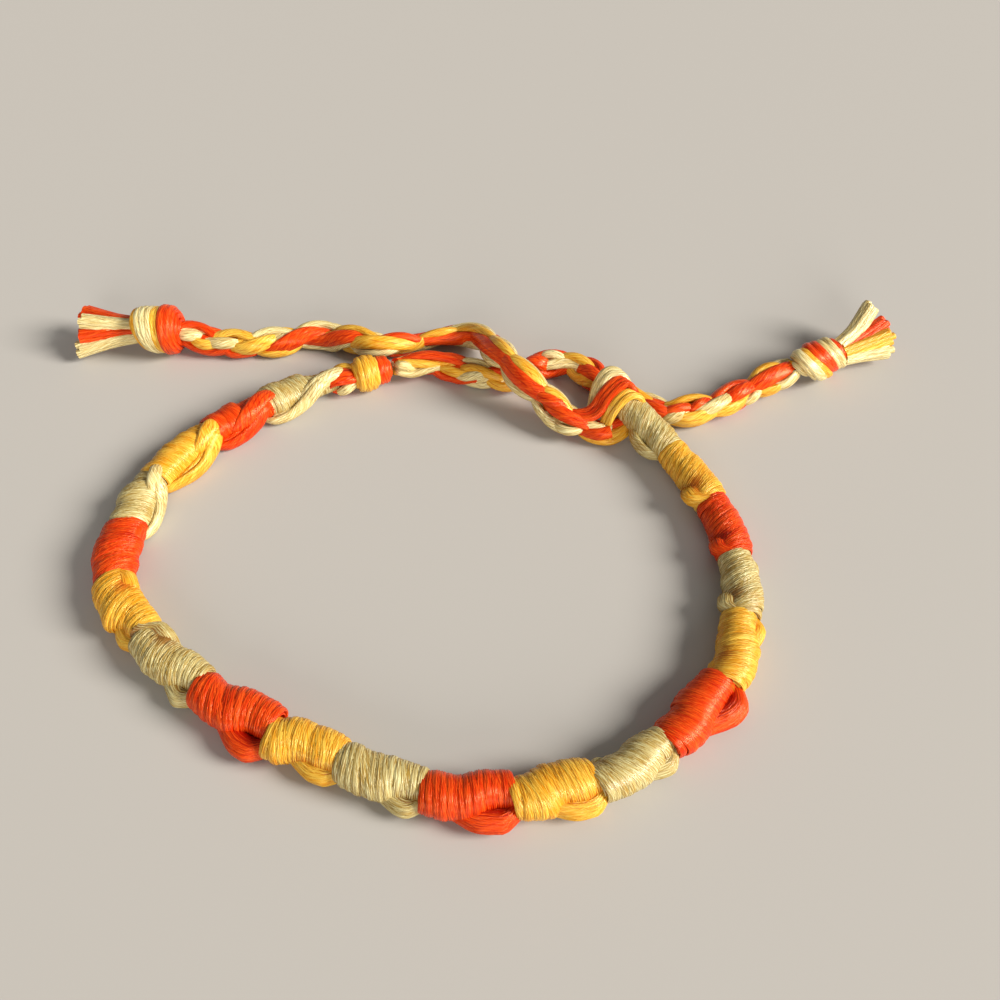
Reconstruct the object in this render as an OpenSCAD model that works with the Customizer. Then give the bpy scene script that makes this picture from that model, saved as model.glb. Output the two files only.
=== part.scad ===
// Woven friendship bracelet of knotted embroidery floss, lying on a table.
// The band is a row of hitched blocks round a bundle of carried strands. An overhand knot ends it
// on one side, and three flat strand groups fold over on the other. A braided tail leaves each end,
// with an overhand knot and a cut fringe. Z = 0 is the table.

/* [Band] */
// Half the height of a block where the first strand hitches
first_tall = 1.82; // [1.6:0.02:1.84]
// Half the height of a block where the second strand hitches
second_tall = 1.76; // [1.5:0.02:1.84]
// Half the width of a strand that floats beside the hitches
float_wide = 1.15; // [0.9:0.05:1.3]
// Half the height of a strand that floats beside the hitches
float_tall = 1; // [0.7:0.05:1.1]
// Gap between neighbouring blocks
block_gap = 0.1; // [0.06:0.01:0.2]
// Radius of the carried strands inside the hitches
core_r = 0.8; // [0.6:0.05:0.85]
// Radius of the channel that the hitches leave round the carried strands
channel_r = 0.95; // [0.95:0.05:1]

/* [Ends] */
// Width of one of the three strand groups that fold over the end
group_w = 1.35; // [1.1:0.05:1.4]
// Thickness of a strand group
group_t = 0.9; // [0.7:0.05:1]
// Radius of the short lead between the first block and the finishing knot
lead_r = 1.15; // [0.9:0.05:1.3]
// Radius of the finishing knot
finishing_r = 2.15; // [1.9:0.05:2.2]

/* [Tails] */
// Diameter of a braided tail
braid_d = 3.1; // [2.6:0.1:3.1]
// Radius of the knot on the tail that starts at the folded groups
start_knot_r = 3.1; // [2.8:0.05:3.15]
// Radius of the knot on the tail that starts at the finishing knot
finish_knot_r = 2.4; // [2.1:0.05:2.45]
// Radius of a fringe lock at its root
lock_root_r = 0.75; // [0.6:0.05:0.8]
// Radius of a fringe lock at its cut end
lock_tip_r = 0.95; // [0.7:0.05:1]

/* [Hidden] */
PALE = 0;
ORANGE = 1;
YELLOW = 2;
COLOUR_NAMES = ["pale", "orange", "yellow"];
COLOURS = ["#D9C284", "#F0501A", "#F5AE2E"];

// Middle of the carried strands at each joint between two blocks, from the finishing knot round the
// left, the front and the right to the folded groups, in columns x, y, z
JOINTS = [
    [-12.5, 26.5, 1.9],
    [-20, 22, 1.9],
    [-26, 17.5, 1.9],
    [-30.6, 10.1, 1.9],
    [-32.1, 3, 1.9],
    [-31.6, -4.1, 1.9],
    [-27, -11, 1.9],
    [-20.5, -16.5, 1.9],
    [-13, -21.4, 1.9],
    [-6.4, -24.2, 1.9],
    [1, -26.9, 1.9],
    [9, -27.5, 1.9],
    [16.4, -26.2, 1.9],
    [22.8, -22.3, 1.9],
    [29.1, -16.1, 1.9],
    [32, -8.6, 1.9],
    [32.4, -0.9, 1.9],
    [30.9, 6.7, 1.9],
    [27.3, 14.2, 2.1],
    [22.8, 20.2, 3.3],
];

// How each block bulges, one row a block, distances across the band with outwards positive:
// its colour, the share of its length that the first strand hitches, the middle and half the width
// of those hitches, the middle and half the width of the second strand's hitches, how far the
// floating strand reaches outwards at the end and towards the wrist at the start, and the share of
// the length where that last one dives in
SHARE = 1;
FIRST_OUT = 2;
FIRST_WIDE = 3;
SECOND_OUT = 4;
SECOND_WIDE = 5;
END_REACH = 6;
START_REACH = 7;
START_SHARE = 8;
BLOCKS = [
    [PALE, 0.4, 0, 1.7, 0.4, 2.2, 2.2, 3, 0.85],
    [ORANGE, 0.5, 0, 2.1, -0.1, 2, 2.6, 3.1, 1.1],
    [YELLOW, 0.5, 0, 2.1, 0, 2, 2.5, 3.5, 0.85],
    [PALE, 0.5, 0.2, 2.2, 0, 2.1, 2.5, 3.3, 1],
    [ORANGE, 0.7, 0.1, 2.4, -0.1, 2.2, 2.4, 2.5, 0.3],
    [YELLOW, 0.6, 0.2, 2.3, -0.6, 1.8, 2.4, 2.6, 0.3],
    [PALE, 0.7, 0, 2.1, -0.7, 1.8, 2.9, 2.7, 0.35],
    [ORANGE, 0.58, 0.1, 2.1, -1, 2, 3.3, 2.3, 0.3],
    [YELLOW, 0.27, 0.2, 2.2, -0.7, 2, 2.4, 2.4, 0.3],
    [PALE, 0.62, -0.1, 2.1, -0.6, 1.8, 2.5, 2.5, 0.3],
    [ORANGE, 0.62, 0, 2.1, -0.8, 1.9, 3, 2.3, 0.25],
    [YELLOW, 0.4, 0, 2.1, -0.9, 2.1, 2.6, 2.3, 0.3],
    [PALE, 0.65, 0, 2, -0.5, 1.8, 2.5, 2.6, 0.35],
    [ORANGE, 0.5, 0, 2.1, -0.8, 2, 3.2, 2.3, 0.3],
    [YELLOW, 0.6, 0, 2.1, -0.5, 1.9, 2.5, 2.4, 0.35],
    [PALE, 0.55, 0, 2, -0.2, 1.9, 2.3, 3, 0.5],
    [ORANGE, 0.55, 0, 2.1, -0.1, 2, 2.3, 3.1, 0.45],
    [YELLOW, 0.55, 0, 2.1, -0.1, 2, 2.3, 3.3, 0.45],
    [PALE, 0.55, 0, 2, 0, 2, 2, 3.4, 0.5],
];

// Route of the tail that starts at the folded groups, over the other tail and off to the left
START_TAIL = [
    [20.7, 17.6, 1.6],
    [19.3, 17.7, 1.6],
    [17.9, 18.4, 1.7],
    [16.3, 19.2, 2],
    [14.8, 20.4, 2.6],
    [13.4, 21.6, 3.4],
    [12, 22.8, 4.1],
    [10.5, 24.2, 4.8],
    [9, 26.4, 4.9],
    [7.6, 29.2, 4.3],
    [6.2, 32.2, 3.2],
    [4.2, 34.8, 2.1],
    [2, 35.3, 1.6],
    [-0.5, 34.7, 1.6],
    [-3, 33.6, 1.7],
    [-5.5, 32.8, 2],
    [-8, 32.6, 2.4],
    [-10.7, 33.6, 2.1],
    [-13.5, 35, 1.6],
    [-16.3, 35, 1.6],
    [-19, 34.5, 1.6],
    [-22, 33.8, 1.6],
    [-24.7, 33.5, 1.6],
    [-27.5, 33.7, 1.7],
    [-30, 34, 2.1],
    [-31.9, 34.3, 2.6],
];

// Route of the tail that starts at the finishing knot, under the other tail and off to the right
FINISH_TAIL = [
    [-5.1, 28.5, 2.1],
    [-3.5, 29.3, 1.6],
    [-1, 29.7, 1.6],
    [1.5, 29.3, 1.6],
    [4, 28.2, 1.6],
    [6.5, 27.2, 1.6],
    [8.7, 27, 1.6],
    [10.8, 28, 1.6],
    [12.8, 29.4, 1.6],
    [15, 30, 1.6],
    [17, 29.4, 1.6],
    [18.7, 28, 1.6],
    [20, 26, 1.6],
    [21.9, 24.5, 1.6],
    [24, 22.9, 1.6],
    [26.3, 21.7, 1.6],
    [28.4, 20.8, 1.6],
    [30.8, 21, 1.6],
    [33.5, 22, 1.6],
    [36.3, 23.8, 1.6],
    [39.2, 25.7, 1.8],
    [41.7, 27, 2.2],
];

// Both ends of each knot's axis
FINISHING_KNOT = [[-10, 26.8, 2.2], [-5.6, 28.3, 2.2]];
START_TAIL_KNOT = [[-32.5, 34.4, 3.2], [-38.7, 34.4, 3.2]];
FINISH_TAIL_KNOT = [[42, 27.1, 2.5], [51, 31.6, 2.5]];

// Cut ends of the fringe locks
START_FRINGE_TIPS = [[-44.8, 36, 4.5], [-45.5, 35.2, 3.2], [-45.5, 33.7, 2.4], [-45.5, 32.5, 1.4]];
FINISH_FRINGE_TIPS = [[55, 37.2, 4.8], [56.5, 35.4, 3.6], [57.7, 34, 2.8], [57.8, 32.6, 1.6]];

// A knot's radius along its axis, in columns place and share of the full radius
KNOT_PROFILE = [
    [0, 0.6],
    [0.07, 0.86],
    [0.2, 1],
    [0.45, 0.98],
    [0.53, 0.86],
    [0.61, 0.97],
    [0.82, 1],
    [0.94, 0.86],
    [1, 0.6],
];

// Middle of the folded groups across the band's axis, in columns towards the wrist and up, both from
// the end of the carried strands
FOLD = [[-2.3, 0.5], [-2.2, 1.4], [-1.6, 2.2], [-0.5, 2.65], [0.6, 2.4], [1.6, 1.5], [2.3, 0.3], [2.8, -1.1]];
// Place of each folded group past the end of the last block, for pale, orange and yellow
FOLD_PLACES = [3.55, 2.15, 0.75];
// How high each folded group stands against the highest
FOLD_HEIGHTS = [1, 1, 0.85];
// Number of half steps along FOLD that each folded group takes before it turns into the tail
FOLD_STEPS = [14, 14, 12];

block_count = len(BLOCKS);
block_sides = 18;
channel_sides = 9;
// Direction of the first corner of a block's outline, which points it at the floating strands
first_turn = -14;
// How much a block draws in where it meets the next one
end_pinch = 0.1;
// Length of block, as a share, in which one strand's hitches give way to the other's
change_share = 0.12;
// Thinnest wall that the hitches leave round the channel
least_wall = 0.32;
// Middle of the floating strands, up from the middle of the carried strands
end_float_up = -0.55;
start_float_up = -0.35;
// How far the carried strands run past the last block, under the folded groups
core_run_out = 3.6;
braid_sides = 8;
knot_sides = 14;
lock_sides = 6;

// Two digits for the number of a block
function two_digits(n) = str(n < 10 ? "0" : "", n);

function block_name(i) = str("hitches_", two_digits(i + 1), "_", COLOUR_NAMES[BLOCKS[i][0]]);

// A row of a route, with one more mirrored past each end
function row_of(p, i) =
    i < 0 ? 2 * p[0] - p[1] : i >= len(p) ? 2 * p[len(p) - 1] - p[len(p) - 2] : p[i];

// Point on the smooth curve through the rows of p, one unit of u for each row
function on_curve(p, u) =
    let (i = max(0, min(len(p) - 2, floor(u))))
    let (t = u - i, a = row_of(p, i - 1), b = row_of(p, i), c = row_of(p, i + 1), d = row_of(p, i + 2))
    b + (c - a) * t / 2 + (2 * a - 5 * b + 4 * c - d) * t * t / 2 + (3 * b - a - 3 * c + d) * t * t * t / 2;

function unit(v) = v / norm(v);

// Direction of the curve at u
function along(p, u) = unit(on_curve(p, u + 0.02) - on_curve(p, u - 0.02));

// Level direction of the curve at u
function level_along(p, u) = let (d = along(p, u)) unit([d.x, d.y, 0]);

// Soft step from 0 at a to 1 at b
function soft_step(a, b, x) = let (t = max(0, min(1, (x - a) / (b - a)))) t * t * (3 - 2 * t);

// Distance from the middle of the carried strands, in direction d, to the far side of an ellipse with
// centre c and half sizes r, or 0 where it is missed
function reach(c, r, d) =
    let (m = [c.x / r.x, c.y / r.y], e = [d.x / r.x, d.y / r.y])
    let (square = e * e, half = m * e, rest = half * half - square * (m * m - 1))
    rest < 0 ? 0 : max(0, (half + sqrt(rest)) / square);

// Share of its full size that the floating strand of block i has at t, at the end and at the start
function end_float(i, t) =
    soft_step(BLOCKS[i][SHARE] - 0.05, BLOCKS[i][SHARE] + 0.3, t) * (1 - 0.12 * soft_step(0.9, 1, t));
function start_float(i, t) = 1 - soft_step(0.6 * BLOCKS[i][START_SHARE], BLOCKS[i][START_SHARE], t);

// Radius of block i at share t of its length, in direction d
function block_reach(i, t, d) =
    let (b = BLOCKS[i], second = soft_step(-change_share / 2, change_share / 2, t - b[SHARE]))
    let (pinch = 1 - end_pinch * pow(abs(2 * t - 1), 6))
    let (out = b[FIRST_OUT] + (b[SECOND_OUT] - b[FIRST_OUT]) * second)
    let (wide = b[FIRST_WIDE] + (b[SECOND_WIDE] - b[FIRST_WIDE]) * second)
    let (tall = first_tall + (second_tall - first_tall) * second)
    let (end_out = b[END_REACH] * end_float(i, t) - float_wide)
    let (start_in = b[START_REACH] * start_float(i, t) - float_wide)
    let (full = max(
        reach([out, 0], [wide, tall], d),
        end_out > 0 ? reach([end_out, end_float_up], [float_wide, float_tall], d) : 0,
        start_in > 0 ? reach([-start_in, start_float_up], [float_wide, float_tall], d) : 0
    ))
    max(pinch * full, channel_r + least_wall);

// Places along block i where its outline is drawn, as shares of its length
function stations(i) =
    let (s = BLOCKS[i][SHARE], half = change_share / 2)
    [0, 0.06, s / 3, (s - half) * 0.75, s - half, s + half, s + (1 - s) * 0.45, 0.94, 1];

// Point at u along the band, out from the wrist by x and up by z
function at_band(u, x, z) =
    let (d = level_along(JOINTS, u))
    on_curve(JOINTS, u) + x * [d.y, -d.x, 0] + [0, 0, z];

function block_ring(i, t, u) =
    [for (k = [0 : block_sides - 1])
        let (turn = first_turn + 360 * k / block_sides, d = [cos(turn), sin(turn)])
        let (r = block_reach(i, t, d))
        at_band(u, r * d.x, r * d.y)];

function channel_ring(u, r, sides) =
    [for (k = [0 : sides - 1])
        let (turn = first_turn + 360 * k / sides)
        at_band(u, r * cos(turn), r * sin(turn))];

// Ring of an ellipse across direction d at point c, half_w sideways and half_h upwards
function cross_ring(c, d, half_w, half_h, sides) =
    let (side = unit(cross(d, [0, 0, 1])), up = cross(side, d))
    [for (k = [0 : sides - 1])
        let (turn = 360 * (k + 0.5) / sides)
        c + half_w * cos(turn) * side + half_h * sin(turn) * up];

// Closed solid through a row of rings with the same number of points
module skin(rings) {
    n = len(rings[0]);
    last = (len(rings) - 1) * n;
    polyhedron(
        points = [for (ring = rings) each ring],
        faces = concat(
            [[for (k = [n - 1 : -1 : 0]) k]],
            [[for (k = [0 : n - 1]) last + k]],
            [for (j = [0 : len(rings) - 2], k = [0 : n - 1])
                let (a = j * n + k, b = j * n + (k + 1) % n)
                each [[a, b, a + n], [b, b + n, a + n]]]
        ),
        convexity = 6
    );
}

// Closed solid between outer rings and the rings of a channel with half as many points
module hollow_skin(outer, inner) {
    n = len(outer[0]);
    m = len(inner[0]);
    shift = len(outer) * n;
    outer_last = (len(outer) - 1) * n;
    inner_last = shift + (len(inner) - 1) * m;
    polyhedron(
        points = concat([for (ring = outer) each ring], [for (ring = inner) each ring]),
        faces = concat(
            [for (j = [0 : len(outer) - 2], k = [0 : n - 1])
                let (a = j * n + k, b = j * n + (k + 1) % n)
                each [[a, b, a + n], [b, b + n, a + n]]],
            [for (j = [0 : len(inner) - 2], k = [0 : m - 1])
                let (a = shift + j * m + k, b = shift + j * m + (k + 1) % m)
                each [[a, a + m, b], [b, a + m, b + m]]],
            [for (k = [0 : m - 1])
                let (a = 2 * k, b = 2 * k + 1, c = (2 * k + 2) % n, p = shift + k, q = shift + (k + 1) % m)
                each [[a, p, b], [b, p, q], [b, q, c]]],
            [for (k = [0 : m - 1])
                let (a = outer_last + 2 * k, b = outer_last + 2 * k + 1, c = outer_last + (2 * k + 2) % n)
                let (p = inner_last + k, q = inner_last + (k + 1) % m)
                each [[a, b, p], [b, q, p], [b, c, q]]]
        ),
        convexity = 6
    );
}

// One block: the hitches of both strands of its colour with the floats beside them, round an open
// channel for the carried strands
module hitches(i) {
    inset = block_gap / 2 / norm(JOINTS[i + 1] - JOINTS[i]);
    start = i + inset;
    length_u = 1 - 2 * inset;
    color(COLOURS[BLOCKS[i][0]])
        hollow_skin(
            [for (t = stations(i)) block_ring(i, t, start + length_u * t)],
            [for (t = [0, 0.5, 1]) channel_ring(start + length_u * t, channel_r, channel_sides)]
        );
}

// The bundle of strands that every block is hitched round, and its run under the folded groups
module carried_strands() {
    run_out = core_run_out / norm(JOINTS[block_count] - JOINTS[block_count - 1]);
    color("#E08A30")
        skin(concat(
            [for (j = [0 : 2 * block_count]) channel_ring(j / 2, core_r, channel_sides)],
            [for (j = [1 : 2]) channel_ring(block_count + run_out * j / 2, core_r, channel_sides)]
        ));
}

// One of the three flat strand groups that fold over the end of the band towards its tail
module folded(which) {
    d = level_along(JOINTS, block_count);
    wrist_side = [-d.y, d.x, 0];
    corner = JOINTS[block_count] + FOLD_PLACES[which] * d;
    path = [for (row = FOLD) [row.x, FOLD_HEIGHTS[which] * row.y]];
    color(COLOURS[which])
        skin([for (j = [0 : FOLD_STEPS[which]])
            let (here = on_curve(path, j / 2), way = along(path, j / 2))
            let (thick_way = -way.y * wrist_side + [0, 0, way.x])
            let (middle = corner + here.x * wrist_side + [0, 0, here.y])
            [for (k = [0 : braid_sides - 1])
                let (turn = 360 * (k + 0.5) / braid_sides)
                middle + group_w / 2 * cos(turn) * d + group_t / 2 * sin(turn) * thick_way]]);
}

// The short stretch of strands between the first block and the finishing knot
module end_lead() {
    out_of_band = -along(JOINTS, 0);
    into_knot = unit(FINISHING_KNOT[1] - FINISHING_KNOT[0]);
    from = JOINTS[0] + 0.15 * out_of_band;
    to = FINISHING_KNOT[0] - 0.15 * into_knot;
    color(COLOURS[ORANGE])
        skin([
            cross_ring(from, out_of_band, lead_r, lead_r, braid_sides),
            cross_ring((from + to) / 2, unit(to - from), lead_r, lead_r, braid_sides),
            cross_ring(to, into_knot, lead_r, lead_r, braid_sides),
        ]);
}

// An overhand knot's outer form between the two points of axis
module knot(axis, r, colour) {
    d = unit(axis[1] - axis[0]);
    color(colour)
        skin([for (row = KNOT_PROFILE)
            cross_ring(axis[0] + row[0] * (axis[1] - axis[0]), d, r * row[1], r * row[1], knot_sides)]);
}

module finishing_knot() {
    knot(FINISHING_KNOT, finishing_r, COLOURS[YELLOW]);
}

module start_tail_knot() {
    knot(START_TAIL_KNOT, start_knot_r, COLOURS[YELLOW]);
}

module finish_tail_knot() {
    knot(FINISH_TAIL_KNOT, finish_knot_r, COLOURS[PALE]);
}

// A braided tail as a plain tube along its route
module braid(route) {
    color(COLOURS[ORANGE])
        skin([for (j = [0 : len(route) - 1])
            cross_ring(route[j], along(route, j), braid_d / 2, braid_d / 2, braid_sides)]);
}

module start_tail() {
    braid(START_TAIL);
}

module finish_tail() {
    braid(FINISH_TAIL);
}

// One lock of cut strands, straight out of the knot and then off to its own side
module lock(root, out, tip) {
    elbow = root + 0.4 * norm(tip - root) * unit(out + 1.2 * unit(tip - root));
    hull() {
        translate(root) sphere(lock_root_r, $fn = lock_sides);
        translate(elbow) sphere((lock_root_r + lock_tip_r) / 2, $fn = lock_sides);
    }
    hull() {
        translate(elbow) sphere((lock_root_r + lock_tip_r) / 2, $fn = lock_sides);
        translate(tip) sphere(lock_tip_r, $fn = lock_sides);
    }
}

// The cut ends past a tail's knot: four locks fused to a short head
module fringe(axis, tips) {
    out = unit(axis[1] - axis[0]);
    root = axis[1] + (lock_root_r + 0.15) * out;
    color(COLOURS[PALE])
        for (tip = tips) {
            lock(root + 0.25 * (tip - root - ((tip - root) * out) * out), out, tip);
        }
}

module start_tail_fringe() {
    fringe(START_TAIL_KNOT, START_FRINGE_TIPS);
}

module finish_tail_fringe() {
    fringe(FINISH_TAIL_KNOT, FINISH_FRINGE_TIPS);
}

for (i = [0 : block_count - 1]) {
    hitches(i);
}
carried_strands();
folded(PALE);  // folded_pale
folded(ORANGE);  // folded_orange
folded(YELLOW);  // folded_yellow
end_lead();
finishing_knot();
start_tail();
start_tail_knot();
start_tail_fringe();
finish_tail();
finish_tail_knot();
finish_tail_fringe();
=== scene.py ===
"""Looks of a woven friendship bracelet of embroidery floss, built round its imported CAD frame."""

import math
import random

import bpy
import numpy as np
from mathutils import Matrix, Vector


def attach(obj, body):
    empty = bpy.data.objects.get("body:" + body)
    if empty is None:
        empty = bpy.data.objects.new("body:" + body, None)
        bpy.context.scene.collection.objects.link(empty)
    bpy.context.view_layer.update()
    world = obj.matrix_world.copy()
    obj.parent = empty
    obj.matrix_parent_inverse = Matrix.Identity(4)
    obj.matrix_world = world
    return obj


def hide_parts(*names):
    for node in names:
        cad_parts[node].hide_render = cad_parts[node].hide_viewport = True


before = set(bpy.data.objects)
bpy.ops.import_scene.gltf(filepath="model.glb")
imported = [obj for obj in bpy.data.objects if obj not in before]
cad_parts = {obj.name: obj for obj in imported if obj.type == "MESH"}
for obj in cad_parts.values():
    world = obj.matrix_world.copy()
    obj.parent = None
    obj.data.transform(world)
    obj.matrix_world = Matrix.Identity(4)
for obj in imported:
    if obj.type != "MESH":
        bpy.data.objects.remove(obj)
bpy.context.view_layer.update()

# Camera
# It stands where the photograph was taken, in front of the loop and above it, with no lens shift.
# CAMERA_DOWN is how far below level it looks, in degrees.
CAMERA_PLACE = (0.0078, -0.06495, 0.0846)
CAMERA_DOWN = 49
camera_data = bpy.data.cameras.new("camera")
camera_data.lens = 36
camera_data.sensor_width = 36
camera_data.clip_start = 0.002
camera = bpy.data.objects.new("camera", camera_data)
camera.location = CAMERA_PLACE
camera.rotation_euler = (math.radians(90 - CAMERA_DOWN), 0, 0)
bpy.context.scene.collection.objects.link(camera)
bpy.context.scene.camera = camera

# Tails
# Each end of the band runs on as a loose flat braid of three groups, and each group is a ribbon of
# one pale, one orange and one yellow strand. The floss is mercerised cotton, which gives it its shine.
PALE, ORANGE, YELLOW = 0, 1, 2
UP = np.array([0.0, 0.0, 1.0])
MM = 0.001
floss_chance = random.Random(7)
# Routes of the two tails from the band to their knots, in millimetres, as the solids have them
START_TAIL = [
    (20.7, 17.6, 1.6), (19.3, 17.7, 1.6), (17.9, 18.4, 1.7), (16.3, 19.2, 2), (14.8, 20.4, 2.6),
    (13.4, 21.6, 3.4), (12, 22.8, 4.1), (10.5, 24.2, 4.8), (9, 26.4, 4.9), (7.6, 29.2, 4.3),
    (6.2, 32.2, 3.2), (4.2, 34.8, 2.1), (2, 35.3, 1.6), (-0.5, 34.7, 1.6), (-3, 33.6, 1.7),
    (-5.5, 32.8, 2), (-8, 32.6, 2.4), (-10.7, 33.6, 2.1), (-13.5, 35, 1.6), (-16.3, 35, 1.6),
    (-19, 34.5, 1.6), (-22, 33.8, 1.6), (-24.7, 33.5, 1.6), (-27.5, 33.7, 1.7), (-30, 34, 2.1),
    (-31.9, 34.3, 2.6),
]
FINISH_TAIL = [
    (-5.1, 28.5, 2.1), (-3.5, 29.3, 1.6), (-1, 29.7, 1.6), (1.5, 29.3, 1.6), (4, 28.2, 1.6),
    (6.5, 27.2, 1.6), (8.7, 27, 1.6), (10.8, 28, 1.6), (12.8, 29.4, 1.6), (15, 30, 1.6),
    (17, 29.4, 1.6), (18.7, 28, 1.6), (20, 26, 1.6), (21.9, 24.5, 1.6), (24, 22.9, 1.6),
    (26.3, 21.7, 1.6), (28.4, 20.8, 1.6), (30.8, 21, 1.6), (33.5, 22, 1.6), (36.3, 23.8, 1.6),
    (39.2, 25.7, 1.8), (41.7, 27, 2.2),
]
# Steps of the filament pattern for each radius round a strand and for each millimetre along it. They
# draw filaments 0.15 mm apart, coarser than they are, so that they show, and 2 mm long
FILAMENT_STEPS = (5.0, 5.0, 0.5)
FILAMENT_RELIEF = 0.0001
# How far the grooves between a strand's plies wander round it, in radians
PLY_WANDER = 6.0


def linear(hex_colour):
    """Linear red, green, blue and alpha of an sRGB hex colour."""
    shares = [int(hex_colour[i : i + 2], 16) / 255 for i in (1, 3, 5)]
    return [c / 12.92 if c <= 0.04045 else ((c + 0.055) / 1.055) ** 2.4 for c in shares] + [1]


def add_node(tree, kind, inputs=None, **settings):
    """Adds a node to tree, with its settings. Each of its inputs is given as a value, as a socket or as
    the node whose first output feeds it."""
    node = tree.nodes.new(kind)
    for key, value in settings.items():
        setattr(node, key, value)
    for socket, source in (inputs or {}).items():
        if isinstance(source, bpy.types.Node):
            tree.links.new(source.outputs[0], node.inputs[socket])
        elif isinstance(source, bpy.types.NodeSocket):
            tree.links.new(source, node.inputs[socket])
        else:
            node.inputs[socket].default_value = source
    return node


def mercerised_floss(name, deep, face, highlight_colour, glint):
    """Six-strand mercerised cotton floss, which is combed parallel. Painted highlights on a filament
    pattern make fine light lines along each strand, and painted shade deepens the colour in its grooves."""
    material = bpy.data.materials.new(name)
    material.use_nodes = True
    tree = material.node_tree
    tree.nodes.clear()
    lay = add_node(tree, "ShaderNodeAttribute", attribute_name="lay")
    crest = add_node(tree, "ShaderNodeAttribute", attribute_name="crest")
    tone = add_node(tree, "ShaderNodeAttribute", attribute_name="tone")
    drawn_out = add_node(
        tree, "ShaderNodeVectorMath", {0: lay.outputs["Vector"], 1: FILAMENT_STEPS}, operation="MULTIPLY"
    )
    filaments = add_node(
        tree, "ShaderNodeTexNoise", {"Vector": drawn_out, "Scale": 1.0, "Detail": 3.0, "Roughness": 0.6}
    )
    # Painted highlight: how strongly each filament catches the light, which also differs a little from
    # strand to strand
    filament_highlight = add_node(
        tree, "ShaderNodeMapRange", {"Value": filaments, "From Min": 0.4, "From Max": 0.66}
    )
    highlight_and_tone = add_node(
        tree, "ShaderNodeMath", {0: filament_highlight, 1: tone.outputs["Fac"]}, operation="ADD", use_clamp=True
    )
    # Painted shade: the deep colour shows in the grooves and wherever neighbours lie against the strand
    groove_shade_range = {"Value": crest.outputs["Fac"], "From Max": 0.6, "To Min": 0.1}
    groove = add_node(tree, "ShaderNodeMapRange", groove_shade_range, interpolation_type="SMOOTHSTEP")
    face_colour = add_node(
        tree, "ShaderNodeMix", {"Factor": highlight_and_tone, 6: linear(face), 7: linear(highlight_colour)}, data_type="RGBA"
    )
    dyed = {"Factor": groove, 6: linear(deep), 7: face_colour.outputs[2]}
    colour = add_node(tree, "ShaderNodeMix", dyed, data_type="RGBA")
    relief = {"Strength": 0.8, "Distance": FILAMENT_RELIEF, "Height": filaments}
    bump = add_node(tree, "ShaderNodeBump", relief)
    shader = add_node(
        tree,
        "ShaderNodeBsdfPrincipled",
        {
            "Base Color": colour.outputs[2],
            "Roughness": 0.27,
            "IOR": 1.5,
            "Specular IOR Level": 0.75,
            "Specular Tint": linear(glint),
            "Normal": bump,
        },
    )
    add_node(tree, "ShaderNodeOutputMaterial", {"Surface": shader})
    return material


# Dyed cotton: a straw natural, a red orange and a golden yellow. Where the natural strands lie loose
# the light passes through them: painted light, a lighter copy of the straw floss that looks nearly white.
FLOSS = [
    mercerised_floss("straw_mercerised_floss", "#865006", "#AE8A36", "#E6DCA0", "#FFF8E4"),
    mercerised_floss("orange_mercerised_floss", "#A80200", "#D42C00", "#F65E18", "#FFB48A"),
    mercerised_floss("golden_mercerised_floss", "#C05600", "#E0940E", "#FBD054", "#FFEFB8"),
]
PAINTED_LIT_LOOSE_FLOSS = [
    mercerised_floss("loose_straw_floss_painted_light", "#80561A", "#D0B066", "#FFF3B6", "#FFFBE6"),
    *FLOSS[1:],
]
FLOSS_INPUTS = ("Pale floss", "Orange floss", "Yellow floss")


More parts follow.
